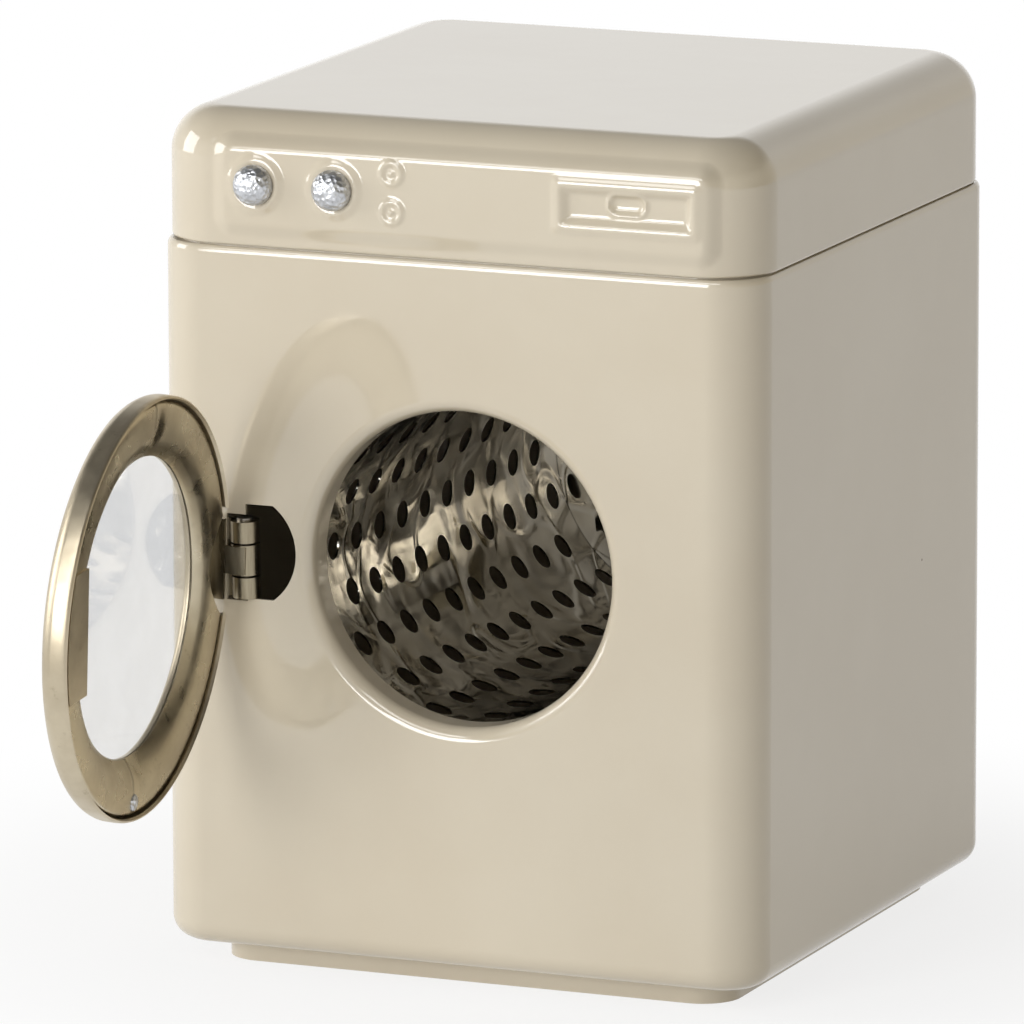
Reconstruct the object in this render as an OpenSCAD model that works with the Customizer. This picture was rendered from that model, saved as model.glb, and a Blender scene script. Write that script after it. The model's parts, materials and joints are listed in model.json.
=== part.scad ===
// Toy front-loading washing machine in enamelled sheet steel.
// The front faces -Y and +Z is up. The origin is the middle of the base, on the surface it stands on.
// The door is drawn standing open, turned about its leaning hinge pin from the closed place.

/* [Cabinet] */
// Outer width of the cabinet and the lid
cabinet_w = 96; // [88:1:116]
// Outer depth of the cabinet and the lid, front to back
cabinet_d = 100; // [84:1:120]
// Overall height, from the table to the top of the lid
cabinet_h = 130; // [122:1:160]
// Thickness of the enamelled steel sheet
sheet_t = 0.6; // [0.4:0.1:1]
// Radius of the cabinet's upright corners
corner_r = 7.8; // [6:0.2:10]
// Radius of the roll along the cabinet's bottom edge
bottom_edge_r = 3.5; // [2:0.1:5]
// Width of the cabinet's rear frame beside and above the back panel
rear_frame_w = 13; // [10:0.5:18]
// Overlap of the back panel behind the rear frame at its sides and top
back_overlap = 4; // [2:0.5:6]
// Height of the rear frame's lower strip above the bottom edge's roll
rear_frame_low = 3; // [3:0.5:8]
// Overlap of the back panel behind that lower strip
back_overlap_low = 3; // [2:0.5:3]

/* [Base] */
// Height of the recessed plinth that the machine stands on
plinth_h = 3.4; // [2.4:0.2:6]
// How far the plinth is set in from the cabinet's sides
plinth_inset = 7; // [5:0.5:10]
// Radius of the plinth's upright corners
plinth_corner_r = 6; // [3:0.5:8]
// Width of the base pan's flange inside the cabinet
pan_flange_w = 3; // [2:0.5:3.5]

/* [Lid] */
// Height of the slip-on lid
lid_h = 20; // [19:0.5:28]
// Radius of the lid's upright corners
lid_corner_r = 9.9; // [8:0.1:12]
// Radius of the roll along the lid's top edge
lid_edge_r = 7.1; // [4:0.1:7.5]
// Gap between the lid and the cabinet at the seam
seam_gap = 0.3; // [0.2:0.1:0.6]
// Height of the neck band above the seam
neck_up = 4.5; // [3:0.1:4.6]
// Height of the neck band below the seam
neck_down = 8; // [5:0.5:12]
// Clearance of the neck band inside the lid
neck_fit = 0.25; // [0.1:0.05:0.5]

/* [Control panel] */
// Distance of the raised panel's left edge from the lid's left side
panel_left_gap = 9.9; // [8:0.1:12]
// Distance of the raised panel's right edge from the lid's right side
panel_right_gap = 5.1; // [4.5:0.1:12]
// Height of the raised panel
panel_h = 16; // [14:0.5:16.5]
// How far the panel stands in front of the lid
panel_out = 0.8; // [0.4:0.1:1.4]
// Gap between the seam and the panel's lower edge
panel_lift = 1.3; // [0.8:0.1:2]
// Height of the dials' centres above the seam
dial_up = 9.7; // [8:0.1:11]
// Distance of the left dial's centre from the panel's left edge
dial_in = 7.4; // [7:0.1:9]
// Distance between the two dials' centres
dial_pitch = 12.6; // [11:0.1:14]
// Radius of the domed dial rivets
dial_r = 3.05; // [2.4:0.05:3.6]
// How far a dial rivet's dome stands out of its boss
dial_out = 2.6; // [1.6:0.1:3.2]
// Radius of the round boss pressed up round each dial
dial_boss_r = 4.9; // [4:0.1:5.4]
// Radius of the dial rivets' shanks
dial_shank_r = 1.2; // [0.8:0.1:1.6]
// Radius of the washers behind the dial rivets
dial_washer_r = 2.8; // [2.4:0.1:3.4]
// Thickness of the washers behind the dial rivets
dial_washer_t = 0.5; // [0.3:0.1:0.8]
// Distance of the two small pressed buttons from the panel's left edge
button_in = 29.3; // [28:0.1:33]
// Height of the upper small button above the seam
button_high_up = 12.7; // [12:0.1:13]
// Height of the lower small button above the seam
button_low_up = 6.9; // [5:0.1:7.4]
// Radius of the small buttons' rings
button_r = 2.1; // [1.6:0.1:2.4]
// Width of the soap drawer's pressed frame
drawer_w = 24.4; // [20:0.2:26]
// Height of the soap drawer's pressed frame
drawer_h = 9.4; // [8:0.1:10]
// Distance of the soap drawer's middle from the panel's right edge
drawer_in = 14.5; // [14:0.1:17]
// Height of the soap drawer's middle above the seam
drawer_up = 9.8; // [9:0.1:10.4]
// Width of the frame's border round the drawer's recess
drawer_border = 1.8; // [1.2:0.1:2.4]
// Depth of the drawer's recess
drawer_depth = 1.2; // [0.6:0.1:1.6]
// Length of the oval finger pocket in the drawer
pocket_w = 6.4; // [4:0.1:8]
// Height of the oval finger pocket in the drawer
pocket_h = 3.6; // [2.4:0.1:4]

/* [Porthole] */
// How far the closed door reaches beyond the porthole's inner edge
porthole_lap = 7.8; // [7:0.1:10]
// Sideways place of the porthole's centre
porthole_x = 1.4; // [-2:0.1:3]
// Height of the porthole's centre above the table
porthole_z = 63.8; // [60:0.1:68]
// Radius of the rolled lip round the porthole
lip_r = 2.2; // [1.4:0.1:2.4]
// Length of the straight collar behind the lip
collar_len = 3.5; // [2:0.1:4.5]

/* [Drum] */
// Thickness of the drum's sheet
drum_t = 0.3; // [0.2:0.05:0.6]
// Clearance of the drum round the porthole's collar
drum_clear = 0.3; // [0.2:0.05:0.6]
// Number of rows of holes round the drum
hole_rows = 20; // [12:2:22]
// Number of holes in each row
row_holes = 10; // [6:1:10]
// Radius of the drum's holes
hole_r = 2.05; // [1:0.05:2.4]
// Distance from the drum's front edge to the first hole centres
hole_start = 7.6; // [5:0.1:9]
// Distance from the last hole centres to the drum's rear edge
hole_end = 4.9; // [3.6:0.1:8]
// Radius of the drum's axle
axle_r = 1.5; // [1:0.1:2]
// Radius of the axle's two heads
axle_head_r = 3; // [2.4:0.1:4]
// Running clearance of the bush on the axle
axle_fit = 0.05; // [0.02:0.01:0.1]
// Length of the drum's bush
bush_len = 5.8; // [4:0.2:9]
// Outer radius of the drum's bush
bush_r = 3; // [2.6:0.1:4]
// Radius of the bush's flange
bush_flange_r = 5.5; // [4.6:0.1:8]
// Thickness of the thrust washer behind the drum
washer_t = 0.5; // [0.3:0.1:1]
// Radius of the thrust washer
washer_r = 4; // [3.2:0.1:6]
// Radius of the stiffening plate on the back panel
axle_plate_r = 12; // [8:0.5:18]
// Thickness of the stiffening plate
axle_plate_t = 0.8; // [0.5:0.1:1.2]
// End float of the drum
end_float = 0.4; // [0.2:0.05:0.5]

/* [Door] */
// Thickness of the door, rim to face
door_t = 4.6; // [4.2:0.1:5.4]
// Thickness of the door's plated sheet
door_sheet = 0.5; // [0.4:0.05:0.7]
// Inward draft of the door's side wall
door_draft = 0.3; // [0:0.05:0.6]
// Radius of the roll round the door's face
door_edge_r = 1.5; // [1.2:0.1:1.8]
// Width of the door's ring, from its rim to the opening in its face
ring_w = 9.1; // [8.6:0.1:12]
// How far the clear window reaches behind the edge of that opening
pane_lap = 1.2; // [1:0.05:1.4]
// Thickness of the clear window
pane_t = 0.7; // [0.4:0.05:0.9]
// Gap between the liner ring and the door's side wall
liner_gap = 0.6; // [0.4:0.05:1]
// Depth of the liner's outer edge below the rim
liner_in = 0.7; // [0.6:0.05:1]
// Radius of the liner's roll into the window opening
liner_roll_r = 1.3; // [0.9:0.1:1.4]
// Place of the liner's upper butt joint, from the hinge-to-catch line
joint_top_angle = 95; // [70:1:110]
// Place of the liner's lower butt joint, from the hinge-to-catch line
joint_low_angle = -83; // [-110:1:-70]
// Opening of each butt joint as an angle
joint_gap_angle = 0.35; // [0.2:0.05:1]
// Gap between the closed door and the cabinet's front
door_gap = 0.3; // [0.2:0.05:0.6]
// Height of the catch plate at the door's free side
catch_h = 19; // [12:0.1:20]
// Distance of the catch plate's straight edge behind the edge of the window opening
catch_back = 1; // [0.6:0.1:3]
// Height of the catch plate's middle above the door's centre
catch_up = 2.7; // [0:0.1:4]
// Radius of the solder tack on the liner's lower joint
solder_r = 1.3; // [0.8:0.1:1.6]

/* [Hinge] */
// Distance of the hinge pin from the cabinet's left side; the door's size follows from it
hinge_from_side = 14.8; // [14.4:0.1:20]
// Distance of the hinge pin beyond the door's rim
hinge_out = 3.1; // [2.8:0.1:4]
// Depth of the hinge pin behind the cabinet's front
hinge_in = 0.75; // [0.5:0.05:0.9]
// Height of the hinge's middle above the porthole's centre
hinge_up = -0.7; // [-2:0.1:2]
// Forward lean of the hinge pin's top
pin_lean = 3.1; // [0:0.1:3.5]
// How far the door stands open
open_angle = 88; // [0:1:90]
// Radius of the hinge pin
pin_r = 0.8; // [0.5:0.05:1]
// Running clearance of the knuckles on the pin
pin_fit = 0.05; // [0.02:0.01:0.1]
// Outer radius of the hinge knuckles
knuckle_r = 2.2; // [1.9:0.05:2.3]
// Height of the door leaf's knuckle
leaf_knuckle_h = 4.6; // [3:0.1:6]
// Height of each of the bracket's two knuckles
bracket_knuckle_h = 3.2; // [2:0.1:4]
// End clearance between neighbouring knuckles
knuckle_gap = 0.35; // [0.2:0.05:0.5]
// Thickness of the door's hinge leaf
leaf_t = 0.6; // [0.5:0.05:0.65]
// Thickness of the hinge bracket's strip
bracket_t = 0.8; // [0.6:0.05:1]
// Width of the bracket's upright strip
bracket_strip_w = 3.6; // [2.6:0.1:4]
// Height of the bracket's welded ends
weld_h = 5.5; // [4:0.5:8]
// How far the bracket's welded ends reach past the hinge pin
weld_reach = 4; // [2:0.5:5]
// Radius of the round side of the hinge opening in the cabinet
cutout_r = 8.8; // [8:0.1:12]
// Height of the hinge opening in the cabinet
cutout_h = 14.3; // [13.6:0.1:16]
// Height of the hinge opening's middle above the hinge's middle
cutout_up = 1.15; // [0.5:0.05:1.4]

/* [Hidden] */
$fn = 96;

front_y = -cabinet_d / 2;
back_y = cabinet_d / 2;
seam_z = cabinet_h - lid_h;
hinge_x = -cabinet_w / 2 + hinge_from_side;
door_r = porthole_x - hinge_x - hinge_out;
window_r = door_r - ring_w;
porthole_r = door_r - porthole_lap;
hinge_y = front_y + hinge_in;
hinge_z = porthole_z + hinge_up;
stack_h = leaf_knuckle_h + 2 * bracket_knuckle_h + 2 * knuckle_gap;
// Extra length of a cutting solid past the face that it cuts
cut_extra = 1;

enamel = [0.82, 0.79, 0.71];
plated = [0.62, 0.57, 0.47];
bright_steel = [0.62, 0.6, 0.56];
aluminium = [0.78, 0.79, 0.81];
clear_plastic = [0.9, 0.92, 0.93, 0.35];
brass = [0.72, 0.6, 0.36];

// ---------- shared shapes ----------

// A rectangle with rounded corners, centred
module rounded_rect(w, d, r) {
    square([w - 2 * r, d], center = true);
    square([w, d - 2 * r], center = true);
    for (sx = [-1, 1], sy = [-1, 1])
        translate([sx * (w / 2 - r), sy * (d / 2 - r)]) circle(r);
}

// Half of a section whose top edge is rounded, from the middle line out to half_w
module edge_section(half_w, h, edge_r) {
    square([half_w, h - edge_r]);
    square([half_w - edge_r, h]);
    intersection() {
        translate([half_w - edge_r, h - edge_r]) circle(edge_r);
        translate([0, h - edge_r - cut_extra]) square([half_w, edge_r + cut_extra]);
    }
}

// A whole section whose two top edges are rounded
module full_section(w, h, edge_r) {
    edge_section(w / 2, h, edge_r);
    mirror([1, 0]) edge_section(w / 2, h, edge_r);
}

// A block on z = 0 with rounded upright corners and a rounded top edge
module soft_block(w, d, h, upright_r, edge_r) {
    rotate([90, 0, 0])
        linear_extrude(d - 2 * upright_r, center = true) full_section(w, h, edge_r);
    rotate([90, 0, 90])
        linear_extrude(w - 2 * upright_r, center = true) full_section(d, h, edge_r);
    for (i = [0:3]) {
        sx = (i == 0 || i == 3) ? 1 : -1;
        sy = (i < 2) ? 1 : -1;
        translate([sx * (w / 2 - upright_r), sy * (d / 2 - upright_r), 0])
            rotate([0, 0, 90 * i])
                rotate_extrude(angle = 90) edge_section(upright_r, h, edge_r);
    }
}

// Stands a shape drawn in X and Y up against the front, so that its Z points to -Y
module on_front(y, x, z) {
    translate([x, y, z]) rotate([90, 0, 0]) children();
}

// The same, about the axis of the porthole and the drum
module on_axis(y) {
    on_front(y, porthole_x, porthole_z) children();
}

// A low dome of revolution on z = 0
module dome(r, h, steps = 12) {
    rim_h = h * 0.12;
    rotate_extrude()
        polygon(concat([[0, 0], [r, 0], [r, rim_h]],
                       [for (i = [1:steps])
                           let (a = 90 * i / steps) [r * cos(a), rim_h + (h - rim_h) * sin(a)]]));
}

// Points of an arc, from one angle to another
function arc(cx, cy, r, from, to, steps) =
    [for (i = [0:steps]) let (a = from + (to - from) * i / steps) [cx + r * cos(a), cy + r * sin(a)]];

// ---------- cabinet ----------

plinth_fit = 0.3;
frame_low = plinth_h + bottom_edge_r + rear_frame_low;

// Rolled lip and collar of the porthole, as a ring about Z whose front is at z = 0
module porthole_lip() {
    rotate_extrude() {
        intersection() {
            translate([porthole_r + lip_r, -lip_r]) difference() {
                circle(lip_r);
                circle(lip_r - sheet_t);
            }
            translate([porthole_r, -lip_r]) square([lip_r, lip_r]);
        }
        translate([porthole_r, -lip_r - collar_len]) square([sheet_t, collar_len]);
    }
}

// Outline of the hinge opening about the hinge's middle, in X and Z: a straight side at the left, a
// round side near the porthole, and a slot behind the knuckles
module hinge_opening_outline() {
    web_to_porthole = 2.5;
    knuckle_side_gap = 0.55;
    knuckle_end_gap = 0.5;
    pin_head_gap = 0.85;
    straight_x = 0.3;
    round_x = porthole_x - porthole_r - web_to_porthole - cutout_r - hinge_x;
    intersection() {
        translate([round_x, cutout_up]) circle(cutout_r);
        translate([straight_x, cutout_up - cutout_h / 2]) square([2 * cutout_r, cutout_h]);
    }
    translate([-knuckle_r - knuckle_side_gap, -stack_h / 2 - knuckle_end_gap])
        square([knuckle_r + knuckle_side_gap + 2 * straight_x,
                stack_h + knuckle_end_gap + pin_head_gap]);
}

module cabinet() {
    body_h = seam_z - plinth_h;
    opening_w = cabinet_w - 2 * plinth_inset + 2 * plinth_fit;
    opening_d = cabinet_d - 2 * plinth_inset + 2 * plinth_fit;
    color(enamel) difference() {
        union() {
            difference() {
                translate([0, 0, seam_z]) mirror([0, 0, 1])
                    soft_block(cabinet_w, cabinet_d, body_h, corner_r, bottom_edge_r);
                translate([0, 0, seam_z + cut_extra]) mirror([0, 0, 1])
                    soft_block(cabinet_w - 2 * sheet_t, cabinet_d - 2 * sheet_t,
                               body_h - sheet_t + cut_extra,
                               corner_r - sheet_t, bottom_edge_r - sheet_t);
                on_axis(front_y + sheet_t + cut_extra)
                    cylinder(r = porthole_r + lip_r, h = sheet_t + 2 * cut_extra);
            }
            on_axis(front_y) porthole_lip();
        }
        translate([0, 0, plinth_h - cut_extra]) linear_extrude(sheet_t + 2 * cut_extra)
            rounded_rect(opening_w, opening_d, plinth_corner_r + plinth_fit);
        on_front(front_y + 2 * sheet_t, hinge_x, hinge_z)
            linear_extrude(2 * sheet_t + cut_extra) hinge_opening_outline();
        translate([-cabinet_w / 2 + rear_frame_w, back_y - sheet_t - cut_extra, frame_low])
            cube([cabinet_w - 2 * rear_frame_w, sheet_t + 2 * cut_extra,
                  seam_z - rear_frame_w - frame_low]);
    }
}

module back_panel() {
    low = frame_low - back_overlap_low;
    high = seam_z - rear_frame_w + back_overlap;
    w = cabinet_w - 2 * rear_frame_w + 2 * back_overlap;
    color(enamel) difference() {
        translate([-w / 2, back_y - 2 * sheet_t, low]) cube([w, sheet_t, high - low]);
        on_axis(back_y) cylinder(r = axle_r + axle_fit, h = 3 * sheet_t);
    }
}

module base_pan() {
    w = cabinet_w - 2 * plinth_inset;
    d = cabinet_d - 2 * plinth_inset;
    flange_z = plinth_h + sheet_t;
    color(enamel) difference() {
        union() {
            linear_extrude(flange_z + sheet_t) rounded_rect(w, d, plinth_corner_r);
            translate([0, 0, flange_z]) linear_extrude(sheet_t)
                rounded_rect(w + 2 * pan_flange_w, d + 2 * pan_flange_w, plinth_corner_r);
        }
        translate([0, 0, sheet_t]) linear_extrude(cabinet_h)
            rounded_rect(w - 2 * sheet_t, d - 2 * sheet_t, plinth_corner_r - sheet_t);
    }
}

// A hollow band with rounded upright corners
module band(w, d, r, t, low, high) {
    translate([0, 0, low]) linear_extrude(high - low) difference() {
        rounded_rect(w, d, r);
        rounded_rect(w - 2 * t, d - 2 * t, r - t);
    }
}

// Joggled band: it lies against the cabinet below the seam and clears the lid above it
module neck_band() {
    w = cabinet_w - 2 * sheet_t;
    d = cabinet_d - 2 * sheet_t;
    low_r = corner_r - sheet_t;
    high_r = lid_corner_r - sheet_t;
    color(enamel) {
        band(w, d, low_r, sheet_t, seam_z - neck_down, seam_z);
        band(w - 2 * neck_fit, d - 2 * neck_fit, high_r, sheet_t, seam_z - sheet_t, seam_z + neck_up);
        band(w, d, low_r, sheet_t + neck_fit + (high_r - low_r) / 2 + sheet_t,
             seam_z - sheet_t, seam_z);
    }
}

// ---------- lid ----------

boss_out = 0.4;
panel_face_y = front_y - panel_out;
boss_face_y = panel_face_y - boss_out;
lid_inner_y = front_y + sheet_t;
dial_z = seam_z + dial_up;
panel_left_x = -cabinet_w / 2 + panel_left_gap;
panel_right_x = cabinet_w / 2 - panel_right_gap;
dial_left_x = panel_left_x + dial_in;
dial_right_x = dial_left_x + dial_pitch;
button_x = panel_left_x + button_in;
drawer_x = panel_right_x - drawer_in;

// Raised control panel pressed into the lid's front
module control_panel() {
    panel_corner_r = 3.5;
    panel_x = (panel_left_x + panel_right_x) / 2;
    on_front(lid_inner_y, panel_x, seam_z + panel_lift + panel_h / 2)
        soft_block(panel_right_x - panel_left_x, panel_h, sheet_t + panel_out,
                   panel_corner_r, panel_out);
}

// Round boss pressed up round a dial
module dial_boss(x) {
    on_front(panel_face_y, x, dial_z) cylinder(r = dial_boss_r, h = boss_out);
}

// Ring of one small button
module button_ring(up) {
    on_front(panel_face_y, button_x, seam_z + up) difference() {
        cylinder(r = button_r, h = boss_out);
        cylinder(r = button_r * 0.62, h = boss_out + cut_extra);
    }
}

// Raised bead in the middle of one small button
module button_bead(up) {
    on_front(panel_face_y, button_x, seam_z + up) cylinder(r = 0.5, h = boss_out);
}

// Raised frame of the soap drawer, with the thicker sheet that backs its recess
module drawer_frame() {
    frame_corner_r = 1.6;
    on_front(panel_face_y, drawer_x, seam_z + drawer_up)
        soft_block(drawer_w, drawer_h, boss_out, frame_corner_r, boss_out * 0.9);
    on_front(lid_inner_y + 1, drawer_x, seam_z + drawer_up)
        linear_extrude(1) rounded_rect(drawer_w, drawer_h, frame_corner_r);
}

module drawer_recess() {
    w = drawer_w - 2 * drawer_border;
    h = drawer_h - 2 * drawer_border;
    recess_corner_r = 0.8;
    pocket_depth = 0.5;
    on_front(boss_face_y + drawer_depth, drawer_x, seam_z + drawer_up)
        linear_extrude(drawer_depth + cut_extra) rounded_rect(w, h, recess_corner_r);
    on_front(boss_face_y + drawer_depth + pocket_depth, drawer_x, seam_z + drawer_up + 0.6)
        linear_extrude(pocket_depth + cut_extra)
            rounded_rect(pocket_w, pocket_h, pocket_h / 2 - 0.05);
}

module lid() {
    color(enamel) difference() {
        union() {
            difference() {
                translate([0, 0, seam_z + seam_gap])
                    soft_block(cabinet_w, cabinet_d, lid_h - seam_gap, lid_corner_r, lid_edge_r);
                translate([0, 0, seam_z + seam_gap - cut_extra])
                    soft_block(cabinet_w - 2 * sheet_t, cabinet_d - 2 * sheet_t,
                               lid_h - seam_gap - sheet_t + cut_extra,
                               lid_corner_r - sheet_t, lid_edge_r - sheet_t);
            }
            control_panel();
            dial_boss(dial_left_x);
            dial_boss(dial_right_x);
            for (up = [button_low_up, button_high_up]) {
                button_ring(up);
                button_bead(up);
            }
            drawer_frame();
        }
        drawer_recess();
        for (x = [dial_left_x, dial_right_x])
            on_front(lid_inner_y + cut_extra, x, dial_z)
                cylinder(r = dial_shank_r, h = lid_inner_y - boss_face_y + 2 * cut_extra);
    }
}

// Domed rivet: dome in front, shank through the sheet and a clinched tail behind the washer
module dial_rivet(x) {
    tail_r = dial_shank_r + 0.6;
    tail_h = 0.7;
    tail_y = lid_inner_y + dial_washer_t;
    color(aluminium) {
        on_front(boss_face_y, x, dial_z) dome(dial_r, dial_out);
        on_front(tail_y, x, dial_z) cylinder(r = dial_shank_r, h = tail_y - boss_face_y);
        on_front(tail_y + tail_h, x, dial_z) cylinder(r = tail_r, h = tail_h);
    }
}

module dial_washer(x) {
    color(bright_steel) on_front(lid_inner_y + dial_washer_t, x, dial_z) difference() {
        cylinder(r = dial_washer_r, h = dial_washer_t);
        translate([0, 0, -cut_extra]) cylinder(r = dial_shank_r, h = dial_washer_t + 2 * cut_extra);
    }
}

// ---------- hinge ----------

// Puts a shape drawn about Z onto the leaning hinge pin's axis
module at_hinge() {
    translate([hinge_x, hinge_y, hinge_z]) rotate([pin_lean, 0, 0]) children();
}

// Turns the door and all that is on it from the closed place to where it stands open
module opened() {
    at_hinge() rotate([0, 0, -open_angle]) rotate([-pin_lean, 0, 0])
        translate([-hinge_x, -hinge_y, -hinge_z]) children();
}

// Strip welded behind the cabinet's front, with a knuckle above and a knuckle below the door's
module hinge_bracket() {
    past_knuckle = 0.75;
    past_opening = 0.8;
    web_right = hinge_x - knuckle_r - past_knuckle;
    web_left = web_right - bracket_strip_w;
    weld_right = hinge_x + weld_reach;
    plate_y = front_y + sheet_t;
    plate_low = min(-stack_h / 2, cutout_up - cutout_h / 2) - past_opening - weld_h;
    plate_high = cutout_up + cutout_h / 2 + past_opening + weld_h;
    color(enamel) difference() {
        union() {
            translate([web_left, plate_y, hinge_z + plate_low])
                cube([web_right - web_left, bracket_t, plate_high - plate_low]);
            for (z = [plate_low, plate_high - weld_h])
                translate([web_left, plate_y, hinge_z + z])
                    cube([weld_right - web_left, bracket_t, weld_h]);
            for (side = [-1, 1]) {
                low = side * (stack_h - bracket_knuckle_h) / 2 - bracket_knuckle_h / 2;
                at_hinge() translate([0, 0, low]) cylinder(r = knuckle_r, h = bracket_knuckle_h);
                translate([web_left, plate_y, hinge_z + low])
                    cube([hinge_x - web_left, bracket_t, bracket_knuckle_h]);
            }
        }
        at_hinge() translate([0, 0, -stack_h / 2 - cut_extra])
            cylinder(r = pin_r + pin_fit, h = stack_h + 2 * cut_extra);
    }
}

module hinge_pin() {
    head_r = pin_r + 0.45;
    head_h = 0.4;
    low_end = 0.15;
    color(bright_steel) at_hinge() {
        translate([0, 0, -stack_h / 2 - low_end]) cylinder(r = pin_r, h = stack_h + low_end);
        translate([0, 0, stack_h / 2]) cylinder(r = head_r, h = head_h);
    }
}

// ---------- door, drawn closed about its own centre ----------

door_rim_y = front_y - door_gap;
door_face_in = door_t - door_sheet;
// Depth of the clear window below the rim
pane_s = door_t - 1.2 - pane_t;
pane_r = window_r + pane_lap;
liner_r = door_r - door_sheet - liner_gap;

// Turns a ring drawn about Z, with depth below the rim as +Z, into the closed door's place
module in_door() {
    on_axis(door_rim_y) children();
}

// Section of the door's outer shell: side wall, rolled edge, face and the turned-in window edge
module shell_section() {
    steps = 8;
    wall_r = door_r - door_draft;
    face_r = wall_r - door_edge_r;
    turn_r = 1;
    s_edge = door_t - door_edge_r;
    s_turn = door_t - turn_r;
    s_end = pane_s + pane_t;
    polygon(concat(
        [[door_r, 0]],
        arc(face_r, s_edge, door_edge_r, 0, 90, steps),
        arc(window_r + turn_r, s_turn, turn_r, 90, 180, steps),
        [[window_r, s_end], [window_r + door_sheet, s_end]],
        arc(window_r + turn_r, s_turn, turn_r - door_sheet, 180, 90, steps),
        arc(face_r, s_edge, door_edge_r - door_sheet, 90, 0, steps),
        [[door_r - door_sheet, 0]]));
}

// Section of the liner: a shallow sloping face that rolls down to the window
module liner_section() {
    steps = 8;
    edge_r = window_r - 0.2;
    roll_x = edge_r + liner_roll_r;
    roll_s = pane_s - 0.1;
    polygon(concat(
        [[liner_r, liner_in]],
        arc(roll_x, roll_s, liner_roll_r, -90, -180, steps),
        [[edge_r, pane_s], [edge_r + door_sheet, pane_s]],
        arc(roll_x, roll_s, liner_roll_r - door_sheet, 180, 270, steps),
        [[liner_r, liner_in + door_sheet]]));
}

// Straight slot in the door's side wall beside the hinge, as deep as the flat of the face
module side_slot() {
    slot_h = 17.5;
    flat_r = door_r - door_draft - door_edge_r;
    slot_x = sqrt(flat_r * flat_r - slot_h * slot_h / 4);
    translate([-door_r - cut_extra, hinge_up - slot_h / 2, -cut_extra])
        cube([door_r + cut_extra - slot_x, slot_h, door_face_in + cut_extra]);
}

// Round bite out of the liner beside the hinge
module liner_bite() {
    bite_r = 9;
    bite_deep = 5.4;
    translate([-liner_r + bite_deep - bite_r, hinge_up, -cut_extra])
        cylinder(r = bite_r, h = door_t + cut_extra);
}

module door_shell() {
    color(plated) opened() in_door() difference() {
        rotate_extrude() shell_section();
        side_slot();
    }
}

// One half of the liner, between two angles seen from the front
module liner_half(from, to) {
    reach = 2 * door_r;
    steps = 6;
    half_gap = joint_gap_angle / 2;
    start = from + half_gap;
    span = to - from - joint_gap_angle;
    opened() in_door() difference() {
        intersection() {
            rotate_extrude() liner_section();
            translate([0, 0, -cut_extra]) linear_extrude(door_t + cut_extra)
                polygon(concat([[0, 0]],
                    [for (i = [0:steps]) let (a = start + span * i / steps)
                        [reach * cos(a), reach * sin(a)]]));
        }
        liner_bite();
    }
}

module door_liner_free() {
    color(plated) liner_half(joint_low_angle, joint_top_angle);
}

module door_liner_hinge() {
    color(plated) liner_half(joint_top_angle, joint_low_angle + 360);
}

// Tack of solder over the liner's lower joint
module liner_solder() {
    tack_at = liner_r - solder_r - 0.4;
    tack_h = liner_in - 0.1;
    color(aluminium) opened() in_door()
        rotate([0, 0, joint_low_angle]) translate([tack_at, 0, liner_in]) mirror([0, 0, 1])
            dome(solder_r, tack_h, 6);
}

module door_window() {
    color(clear_plastic) opened() in_door() translate([0, 0, pane_s]) cylinder(r = pane_r, h = pane_t);
}

// Flat plate at the door's free side, level with the rim
module catch_plate() {
    color(plated) opened() in_door() linear_extrude(liner_in) intersection() {
        circle(door_r - door_sheet - 0.4);
        translate([window_r + catch_back, catch_up - catch_h / 2]) square([door_r, catch_h]);
    }
}

// Cranked leaf: knuckle on the pin, a wall out to the door that widens past the bracket's knuckles,
// and a plate against the inside of the door's face
module door_hinge_leaf() {
    strip_h = leaf_knuckle_h - 0.4;
    wide_h = 12.4;
    wide_y = hinge_y - knuckle_r - 0.4;
    wall_x = hinge_x + knuckle_r + 0.15 - leaf_t;
    strip_end_y = hinge_y + 0.8;
    face_y = door_rim_y - door_face_in;
    plate_end_x = porthole_x - pane_r - 0.6;
    color(plated) opened() difference() {
        union() {
            at_hinge() translate([0, 0, -leaf_knuckle_h / 2])
                cylinder(r = knuckle_r, h = leaf_knuckle_h);
            translate([wall_x, face_y, hinge_z - strip_h / 2])
                cube([leaf_t, strip_end_y - face_y, strip_h]);
            translate([wall_x, face_y, hinge_z - wide_h / 2])
                cube([leaf_t, wide_y - face_y, wide_h]);
            translate([wall_x, face_y, hinge_z - wide_h / 2])
                cube([plate_end_x - wall_x, leaf_t, wide_h]);
        }
        at_hinge() translate([0, 0, -leaf_knuckle_h / 2 - cut_extra])
            cylinder(r = pin_r + pin_fit, h = leaf_knuckle_h + 2 * cut_extra);
    }
}

// ---------- drum ----------

drum_in_r = porthole_r + sheet_t + drum_clear;
drum_out_r = drum_in_r + drum_t;
drum_front_y = front_y + lip_r + 0.5;
panel_in_y = back_y - 2 * sheet_t;
plate_in_y = panel_in_y - axle_plate_t;
washer_in_y = plate_in_y - washer_t;
drum_back_y = washer_in_y - end_float;
drum_len = drum_back_y - drum_front_y;
hole_pitch = (drum_len - hole_start - hole_end) / (row_holes - 0.5);
drum_back_t = 0.6;
bush_front_y = drum_back_y - bush_len;

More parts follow.
